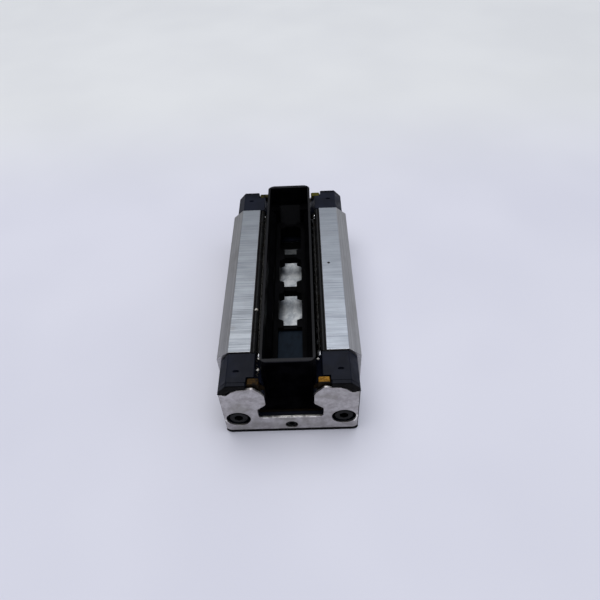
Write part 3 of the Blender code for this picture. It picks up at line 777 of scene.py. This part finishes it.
def circuit_frame(row, side):
    """Centre, in-plane unit direction and half spacing of a row's two straight lines."""
    load_z, return_z = ROWS[row]
    across = Vector((side * (RETURN_X - LOAD_X), return_z - load_z))
    centre = Vector((side * (LOAD_X + RETURN_X) / 2, (load_z + return_z) / 2))
    return centre, across.normalized(), across.length / 2


def loop_place(row, side, distance):
    """Point in the part at a distance along a row's closed path."""
    centre, unit, half = circuit_frame(row, side)
    straight = 2 * BLOCK_HIGH.y
    turn = math.pi * half
    lap = distance % (2 * straight + 2 * turn)
    if lap < straight:
        across, along = -half, -BLOCK_HIGH.y + lap
    elif lap < straight + turn:
        angle = math.pi - (lap - straight) / half
        across, along = half * math.cos(angle), BLOCK_HIGH.y + half * math.sin(angle)
    elif lap < 2 * straight + turn:
        across, along = half, BLOCK_HIGH.y - (lap - straight - turn)
    else:
        angle = -(lap - 2 * straight - turn) / half
        across, along = half * math.cos(angle), -BLOCK_HIGH.y + half * math.sin(angle)
    return Vector((centre.x + across * unit.x, along, centre.y + across * unit.y))


def ball_circuit(row, side_name):
    """Separate polished balls all the way round one closed path."""
    side = SIDES[side_name]
    _, _, half = circuit_frame(row, side)
    pitch = (4 * BLOCK_HIGH.y + 2 * math.pi * half) / BALLS_PER_CIRCUIT
    bm = bmesh.new()
    for ball in range(BALLS_PER_CIRCUIT):
        place = Matrix.Translation(loop_place(row, side, (ball + 0.5) * pitch))
        bmesh.ops.create_icosphere(bm, subdivisions=3, radius=BALL_RADIUS, matrix=place)
    obj = make_object(f"balls_{row}_{side_name}", bm)
    obj.data.shade_smooth()
    settle(obj, LOOKS["ball"], CARRIAGE, "bearing_steel", f"ball_circuit_{row}_{side_name}")


def add_turn(bm, row, side, end):
    """Ball channel round one end as a closed tube, to be cut out of a cap."""
    centre, unit, half = circuit_frame(row, side)
    rings = []
    for step in range(-1, 18):
        angle = math.pi - math.pi * min(max(step, 0), 16) / 16
        back = 1.0 if step in (-1, 17) else 0.0
        radial = Vector((math.cos(angle), end * math.sin(angle)))
        ring = []
        for u, v in circle(0, 0, TURN_RADIUS, 20):
            across = (half + u) * radial.x
            along = end * (BLOCK_HIGH.y - back) + (half + u) * radial.y
            point = (centre.x + across * unit.x - v * unit.y, along, centre.y + across * unit.y + v * unit.x)
            ring.append(bm.verts.new(point))
        rings.append(ring)
    close_tube(bm, rings)


# --- ends ------------------------------------------------------------------------------

def end_cap(end_name):
    """Moulded return cap with its ball turns, pad recess and dimples."""
    end = ENDS[end_name]
    outline = rounded(both_halves(cap_outer(CAP_HIGH.x, CAP_LOW.z, CAP_HIGH.z) + CAP_RAIL_EDGE))
    obj = prism(f"cap_{end_name}", outline, end * CAP_LOW.y, end * CAP_HIGH.y)
    for row in ROWS:
        bm = bmesh.new()
        for side in SIDES.values():
            add_turn(bm, row, side, end)
        carve(obj, bm)
    for side in SIDES.values():
        seat = circle(side * (LOAD_X + RETURN_X) / 2, end * CAP_LOW.y, 3.0)
        carve_prism(obj, seat, 9.1, 18.1, along_z)
    recess = [
        (0, 5.1), (9.5, 5.1, 0.4), (9.5, 9.8, 0.5), (14.3, 10.7, 0.6), (14.3, 17.0, 0.6),
        (12.9, 18.4, 0.4), (9.5, 18.4, 0.2), (9.5, 21.0), (0, 21.0),
    ]
    carve_prism(obj, rounded(both_halves(recess)), end * CAP_FLOOR, end * (CAP_HIGH.y + 1))
    for side in SIDES.values():
        shank = circle(side * SCREW_X, SCREW_Z, 1.55)
        carve_prism(obj, shank, end * (CAP_LOW.y - 1), end * (CAP_FLOOR + 0.5))
        carve_prism(obj, circle(side * SCREW_X, SCREW_Z, SCREW_ROOM), end * CAP_FLOOR, end * (CAP_HIGH.y + 1))
    carve_prism(obj, circle(0, PORT_Z, PORT_RADIUS + 0.3), end * 30.0, end * (CAP_HIGH.y + 1.5))
    bm = bmesh.new()
    for side in SIDES.values():
        x, y = side * DIMPLE[0], end * DIMPLE[1]
        bowl = [(0.0, 0.75), (0.5, 0.6), (0.68, 0.0), (0.9, -0.5), (0.0, -0.5)]
        add_turned(bm, bowl, 32, lambda u, v, d: (x + 1.1 * u, y + 0.55 * v, CAP_HIGH.z - d))
    carve(obj, bm)
    soften(obj, 0.16, 3)
    settle(obj, LOOKS["cap"], CARRIAGE, "cap_plastic", f"end_cap_{end_name}")


def oil_pad(end_name):
    """Felt arch with fuzzy rounded edges and an ear on each leg."""
    end = ENDS[end_name]
    obj = prism(f"pad_{end_name}", rounded(both_halves(PAD_EDGE)), end * PAD_LOW.y, end * PAD_HIGH.y)
    ear = PAD_EDGE[6][0]
    front = [(-20, 0), (20, 0), (20, 30), (ear, 30), (ear, 16.8), (-ear, 16.8), (-ear, 30), (-20, 30)]
    carve_prism(obj, front, end * CAP_HIGH.y, end * (PAD_HIGH.y + 1))
    soften(obj, 0.14, 2)
    settle(obj, LOOKS["pad"], CARRIAGE, "oil_pad", f"oil_pad_{end_name}")


def pierce(obj, end, low, high):
    """Cut the two screw holes and the port hole through an end layer."""
    for side in SIDES.values():
        carve_prism(obj, circle(side * SCREW_X, SCREW_Z, SCREW_ROOM, 64), end * (low - 1), end * (high + 1))
    carve_prism(obj, circle(0, PORT_Z, PORT_RADIUS + 0.3), end * (low - 1), end * (high + 1))


def end_seal(end_name):
    """Seal plate with soft edges, a lip round the rail and a recess for the cover plate."""
    end = ENDS[end_name]
    outline = rounded(both_halves(cap_outer(SEAL_HIGH.x, SEAL_LOW.z, SEAL_HIGH.z, 1.5) + SEAL_RAIL_EDGE))
    obj = prism(f"seal_{end_name}", outline, end * (CAP_HIGH.y + 0.04), end * SEAL_HIGH.y)
    room = 0.12
    recess = [
        (x * 1.03 + (room if x else 0.0), z + (room if z > 10 else -room), *radius)
        for x, z, *radius in PLATE_EDGE[:9]
    ]
    recess += [(0, 18.9)]
    carve_prism(obj, rounded(both_halves(recess)), end * (PLATE_LOW.y - 0.1), end * (SEAL_HIGH.y + 1))
    pierce(obj, end, SEAL_LOW.y, SEAL_HIGH.y)
    over = [(-20, -5), (20, -5), (20, 30), (-20, 30)]
    inner = both_halves(cap_outer(SEAL_HIGH.x - 0.18, SEAL_LOW.z + 0.18, SEAL_HIGH.z - 0.18, 1.4))
    bm = bmesh.new()
    add_frame(bm, over, rounded(inner), end * (FACING_START - FACING_GROOVE),
              end * (FACING_START + FACING_GROOVE))
    carve(obj, bm)
    soften(obj, 0.08, 3)
    settle(obj, LOOKS["seal"], CARRIAGE, "seal_rubber", f"end_seal_{end_name}")


def cover_plate(end_name):
    """Stamped stainless plate with rolled edges."""
    end = ENDS[end_name]
    outline = rounded(both_halves(PLATE_EDGE), 7)
    obj = prism(f"plate_{end_name}", outline, end * PLATE_LOW.y, end * PLATE_HIGH.y)
    pierce(obj, end, PLATE_LOW.y, PLATE_HIGH.y)
    soften(obj, 0.12, 3)
    settle(obj, LOOKS["sheet"], CARRIAGE, "stainless_sheet", f"cover_plate_{end_name}")


def socket_screw(name, x, z, end, profile, hexagon, depth, node):
    """Turned screw with a hexagon socket in its last face."""
    bm = bmesh.new()
    add_turned(bm, profile, 48, lambda u, v, d: (x + u, end * d, z + v))
    obj = make_object(name, bm)
    face = profile[-1][1]
    turn = math.pi / 6
    carve_prism(obj, circle(x, z, hexagon, 6, turn), end * (face - depth), end * (face + 0.5))
    soften(obj, 0.05, 2)
    settle(obj, LOOKS["screw"], CARRIAGE, "black_screw", node)


def cap_screw(end_name, side_name):
    """Socket-head screw with a rounded head and thread ridges."""
    end = ENDS[end_name]
    head = SCREW_HEAD_RADIUS
    tip = SCREW_LOW.y
    seat = CAP_FLOOR + 0.3
    face = SCREW_HIGH.y
    profile = [(0.0, tip), (0.8, tip)]
    for turn in range(12):
        ridge = tip + 0.2 + turn * 0.45
        profile += [(1.02, ridge), (1.25, ridge + 0.22)]
    profile += [(1.02, tip + 5.7), (1.22, tip + 6.0), (1.22, seat), (head, seat), (head, face - 0.35)]
    profile += [(head - 0.1, face - 0.1), (head - 0.35, face), (0.0, face)]
    x = SIDES[side_name] * SCREW_X
    names = f"{end_name}_{side_name}"
    socket_screw(f"screw_{names}", x, SCREW_Z, end, profile, 1.15, 1.3, f"cap_screw_{names}")


def port_screw(end_name):
    """Set screw in the lubrication port, a little below the plate's face."""
    tip, face = PORT_LOW.y, PORT_HIGH.y - 0.15
    profile = [(0.0, tip), (0.9, tip)]
    for turn in range(7):
        ridge = tip + 0.25 + turn * 0.5
        profile += [(1.05, ridge), (PORT_RADIUS, ridge + 0.25)]
    profile += [(PORT_RADIUS, face - 0.2), (PORT_RADIUS - 0.2, face), (0.0, face)]
    socket_screw(f"port_plug_{end_name}", 0.0, PORT_Z, ENDS[end_name], profile, 0.78, 1.4,
                 f"port_screw_{end_name}")


# --- channel ---------------------------------------------------------------------------

def side_seal(side_name):
    """Lip seal along a leg, slightly wavy where it has taken a set."""
    side = SIDES[side_name]
    lip = [
        (7.9, 18.0), (8.45, 18.0), (8.45, 19.5, 0.15), (8.0, 19.6, 0.15), (7.45, 19.28, 0.1),
        (7.45, 18.95, 0.1), (7.9, 18.55, 0.3),
    ]
    outline = [(side * x, z) for x, z in rounded(lip, 4)]
    reach = LIP_HIGH.y
    count = 180
    bm = bmesh.new()
    rings = []
    for step in range(count + 1):
        y = -reach + 2 * reach * step / count
        ring = []
        for x, z in outline:
            freedom = min(max((8.3 - abs(x)) / 0.85, 0.0), 1.0)
            sway = noise.noise(Vector((side * 3.0, y * 0.35, 0.0))) * 0.16 * freedom
            lift = noise.noise(Vector((side * 7.0, y * 0.8, 4.0))) * 0.08 * freedom
            ring.append(bm.verts.new((x + side * sway, y, min(z + lift, LIP_HIGH.z))))
        rings.append(ring)
    close_tube(bm, rings)
    obj = make_object(f"lip_{side_name}", bm)
    smooth(obj, 50)
    settle(obj, LOOKS["lip"], CARRIAGE, "seal_rubber", f"side_seal_{side_name}")


def grease_bead(name, side, x, z, start, stop, half_width, half_height):
    """Uneven flat bead of grease along the channel, lumpy all over."""
    step_length = 0.25
    count = int((stop - start) / step_length)
    seed = CHANCE.uniform(0, 50)
    bm = bmesh.new()
    rings = []
    for step in range(count + 1):
        y = start + step_length * step
        taper = math.sin(math.pi * min(max(step / count, 0.01), 0.99)) ** 0.3
        ring = []
        for u, v in circle(0, 0, 1.0, 14):
            swell = 1.0 + 0.5 * noise.noise(Vector((seed + u, y * 0.9, v)))
            swell += 0.4 * noise.noise(Vector((seed + 2 * u, y * 2.7, 2 * v)))
            grow = taper * max(swell, 0.3)
            ring.append(bm.verts.new((side * x + u * half_width * grow, y, z + v * half_height * grow)))
        rings.append(ring)
    close_tube(bm, rings)
    obj = make_object(name, bm)
    obj.data.shade_smooth()
    settle(obj, LOOKS["grease"], CARRIAGE, "seal_rubber")


def crumbs(name, look, places, size):
    """Small uneven lumps at the given places, each up to size millimetres in radius."""
    bm = bmesh.new()
    for place in places:
        radius = size * CHANCE.uniform(0.45, 1.0)
        turn = Matrix.Rotation(CHANCE.uniform(0, math.pi), 4, "Z")
        squash = Matrix.Diagonal((1.0, CHANCE.uniform(0.6, 1.0), 0.6, 1.0))
        shape = Matrix.Translation(place) @ turn @ squash
        bmesh.ops.create_icosphere(bm, subdivisions=2, radius=radius, matrix=shape)
    for vert in bm.verts:
        vert.co += 0.25 * size * noise.noise_vector(vert.co * 6.0)
    obj = make_object(name, bm)
    obj.data.shade_smooth()
    settle(obj, LOOKS[look], CARRIAGE, "seal_rubber")


def dirt():
    """Grease along the seal lips, crumbs on it, one loose chip by the left leg, and pale chips by the near
    caps as painted glints.
    """
    for side_name, side in SIDES.items():
        reach = LIP_HIGH.y - 0.6
        grease_bead(f"grease_{side_name}", side, 7.15, 18.5, -reach, reach, 0.42, 0.3)
    left = []
    for _ in range(46):
        y = CHANCE.triangular(-26.0, 24.0, -6.0)
        left.append((-CHANCE.uniform(6.95, 8.2), y, 18.85 + CHANCE.uniform(0.0, 0.2)))
    right = [(CHANCE.uniform(6.95, 7.6), CHANCE.uniform(-26.0, 22.0), 18.85) for _ in range(12)]
    crumbs("crumbs_left", "speck", left, 0.13)
    crumbs("crumbs_right", "speck", right, 0.09)
    corner = [(-CHANCE.uniform(6.7, 7.5), CHANCE.uniform(-33.0, -27.4), 18.2) for _ in range(16)]
    crumbs("crumbs_corner", "speck", corner, 0.2)
    chips = [(-8.03, -13.66, 19.68), (-6.97, -30.94, 18.5), (-6.91, -27.86, 18.5), (6.75, -28.37, 18.5)]
    crumbs("chip_leg", "chip", chips[:1], 1.0)
    # Pale chips by the near caps stand in for glints on grease: painted highlights.
    crumbs("glint_chip_corner", "chip", chips[1:2], 0.75)
    crumbs("glint_chips_corner", "chip", chips[2:], 0.4)


# --- transport rail --------------------------------------------------------------------

def box_outline(half_width, start, stop):
    return [(half_width, start), (half_width, stop), (-half_width, stop), (-half_width, start)]


def transport_rail():
    """Moulded trough in the rail's shape, with ribs, floor windows, ramps and rounded ends."""
    high = RAIL_HIGH.z
    half = [
        (0, RAIL_LOW.z), (RAIL_HIGH.x, RAIL_LOW.z, 0.4), (RAIL_HIGH.x, 9.4, 0.4), (5.2, 11.3, 0.6),
        (5.2, 16.1, 0.6), (RAIL_SIDE_X, 17.25, 0.5), (RAIL_SIDE_X, high), (0, high),
    ]
    obj = prism("rail_trough", rounded(both_halves(half)), -RAIL_HIGH.y, RAIL_HIGH.y)
    for end in ENDS.values():
        wide = RAIL_SIDE_X + 0.1 - RAIL_CORNER
        reach = BOX_REACH - RAIL_CORNER
        outline = [(9, 40), (-9, 40), (-9, reach)]
        outline += arc(-wide, reach, RAIL_CORNER, 180, 90, 8)
        outline += arc(wide, reach, RAIL_CORNER, 90, 0, 8)
        outline += [(9, reach)]
        carve_prism(obj, [(x, end * y) for x, y in outline], RAIL_UNDERSIDE_Z, high + 1, along_z)
    inside = BOX_REACH - RAIL_END_WALL
    carve_prism(obj, box_outline(RAIL_INNER_X, -inside, inside), BOX_FLOOR_Z, high + 1, along_z)
    lower = [
        (0, POST_Z), (4.3, POST_Z), (4.3, 16.4, 0.6), (RAIL_INNER_X, BOX_FLOOR_Z),
        (RAIL_INNER_X, BOX_FLOOR_Z + 1), (0, BOX_FLOOR_Z + 1),
    ]
    carve_prism(obj, rounded(both_halves(lower)), -RAMP_START, RAMP_START)
    carve_prism(obj, box_outline(FLOOR_X, -RAMP_START, RIBS[0][0]), FLOOR_Z, POST_Z + 0.5, along_z)
    for end in ENDS.values():
        ramp = [
            (RAMP_START - 0.2, FLOOR_Z), (RAMP_START, FLOOR_Z, 1.5), (inside, BOX_FLOOR_Z),
            (inside, BOX_FLOOR_Z + 0.3), (RAMP_START - 0.2, BOX_FLOOR_Z + 0.3),
        ]
        carve_prism(obj, [(end * y, z) for y, z in rounded(ramp)], -FLOOR_X, FLOOR_X, along_x)
    carve_prism(obj, box_outline(POST_X, RIBS[0][0] - 0.5, RIBS[-1][1] - 0.2), RIB_Z, POST_Z + 0.6, along_z)
    for before, after in zip(RIBS, RIBS[1:]):
        start, stop = before[1], after[0]
        window = [
            (POST_X, start), (POST_X, start + 1.2, 0.25), (FLOOR_X, start + 1.8, 0.3),
            (FLOOR_X, stop - 1.8, 0.3), (POST_X, stop - 1.2, 0.25), (POST_X, stop),
        ]
        window += [(-x, y, *r) for x, y, *r in reversed(window)]
        carve_prism(obj, rounded(window, 4), RAIL_LOW.z + 1, POST_Z + 0.4, along_z)
    pocket = box_outline(RAIL_POCKET_X, RIBS[0][0], RIBS[-1][1])
    carve_prism(obj, pocket, RAIL_LOW.z - 1, RAIL_UNDERSIDE_Z, along_z)
    soften(obj, 0.14, 3)
    settle(obj, LOOKS["rail"], RAIL, "rail_plastic", "transport_rail")


# --- what the CAD already shapes right -------------------------------------------------

def dress_cad_nodes():
    """Materials for the pieces inside the legs, which keep their CAD shape."""
    looks = {"race_insert": "race", "ball_retainer": "guide", "return_tube": "guide", "return_guide": "guide"}
    for name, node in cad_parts.items():
        for start, look in looks.items():
            if name.startswith(start):
                node.data.materials.clear()
                node.data.materials.append(LOOKS[look])


def build_carriage():
    block_body()
    dress_cad_nodes()
    for side_name, side in SIDES.items():
        for row in ROWS:
            ball_circuit(row, side_name)
        side_seal(side_name)
    dirt()
    for end_name in ENDS:
        end_cap(end_name)
        oil_pad(end_name)
        end_seal(end_name)
        cover_plate(end_name)
        port_screw(end_name)
        for side_name in SIDES:
            cap_screw(end_name, side_name)
    transport_rail()


# --- floor, light and camera -----------------------------------------------------------

def floor():
    bm = bmesh.new()
    bmesh.ops.create_grid(bm, x_segments=4, y_segments=4, size=3.0 / MM)
    obj = make_object("floor", bm)
    obj.location.z = -0.02 * MM
    look = Look("floor_paper", (0.67, 0.69, 0.74), 0.75)
    fibre = look.noise(0.9, 4.0, 0.6)
    cloud = look.noise(60.0, 2.0)
    far = look.span(look.axis("Y"), 45, 150)
    dull = look.blend(far, (0.638, 0.638, 0.707), (0.690, 0.697, 0.700))
    pale = look.blend(far, (0.672, 0.671, 0.736), (0.724, 0.731, 0.729))
    look.drive("Base Color", look.blend(look.ramp(cloud, 0.3, 0.7), dull, pale))
    look.bump(fibre, 0.02, 0.4)
    obj.data.materials.append(look.material)


def area_light(name, place, size, power, colour):
    light = bpy.data.lights.new(name, "AREA")
    light.shape = "DISK"
    light.size = size
    light.energy = power
    light.color = colour
    obj = bpy.data.objects.new(name, light)
    bpy.context.scene.collection.objects.link(obj)
    obj.location = place
    obj.rotation_euler = (-Vector(place)).to_track_quat("-Z", "Y").to_euler()


def lights():
    world = bpy.data.worlds.new("studio")
    bpy.context.scene.world = world
    world.use_nodes = True
    tree = world.node_tree
    sky = tree.nodes["Background"]
    sky.inputs["Color"].default_value = (0.86, 0.90, 1.0, 1.0)
    height = tree.nodes.new("ShaderNodeSeparateXYZ")
    tree.links.new(tree.nodes.new("ShaderNodeTexCoord").outputs["Generated"], height.inputs["Vector"])
    soft = tree.nodes.new("ShaderNodeMapRange")
    soft.interpolation_type = "SMOOTHSTEP"
    for name, value in (("From Min", 0.33), ("From Max", 1.0), ("To Min", 0.16), ("To Max", 0.98)):
        soft.inputs[name].default_value = value
    lean = tree.nodes.new("ShaderNodeMath")
    lean.operation = "MULTIPLY_ADD"
    lean.inputs[1].default_value = 0.45
    tree.links.new(height.outputs["X"], lean.inputs[0])
    tree.links.new(height.outputs["Z"], lean.inputs[2])
    tree.links.new(lean.outputs["Value"], soft.inputs["Value"])
    tree.links.new(soft.outputs["Result"], sky.inputs["Strength"])
    area_light("key", (-0.12, 0.12, 0.95), 1.0, 5.6, (1.0, 0.99, 0.98))


VIEW_ELEVATION = math.radians(46.85)
VIEW_AZIMUTH = math.radians(1.85)
VIEW_ROLL = math.radians(-3.25)
VIEW_PLACE = (5.65 * MM, -98.3 * MM, 113.1 * MM)
VIEW_LENS = 30.5


def camera():
    """Camera above the near end, looking down along the travel."""
    e, a = VIEW_ELEVATION, VIEW_AZIMUTH
    back = Vector((math.sin(a) * math.cos(e), -math.cos(a) * math.cos(e), math.sin(e)))
    right = Vector((math.cos(a), math.sin(a), 0.0))
    up = back.cross(right)
    level = Matrix((right, up, back)).transposed()
    data = bpy.data.cameras.new("camera")
    data.lens = VIEW_LENS
    data.sensor_width = 36.0
    data.clip_start = 0.005
    obj = bpy.data.objects.new("camera", data)
    bpy.context.scene.collection.objects.link(obj)
    turned = level @ Matrix.Rotation(VIEW_ROLL, 3, "Z")
    obj.matrix_world = Matrix.Translation(VIEW_PLACE) @ turned.to_4x4()
    bpy.context.scene.camera = obj


build_carriage()
floor()
lights()
camera()
bpy.context.scene.view_settings.view_transform = "Standard"
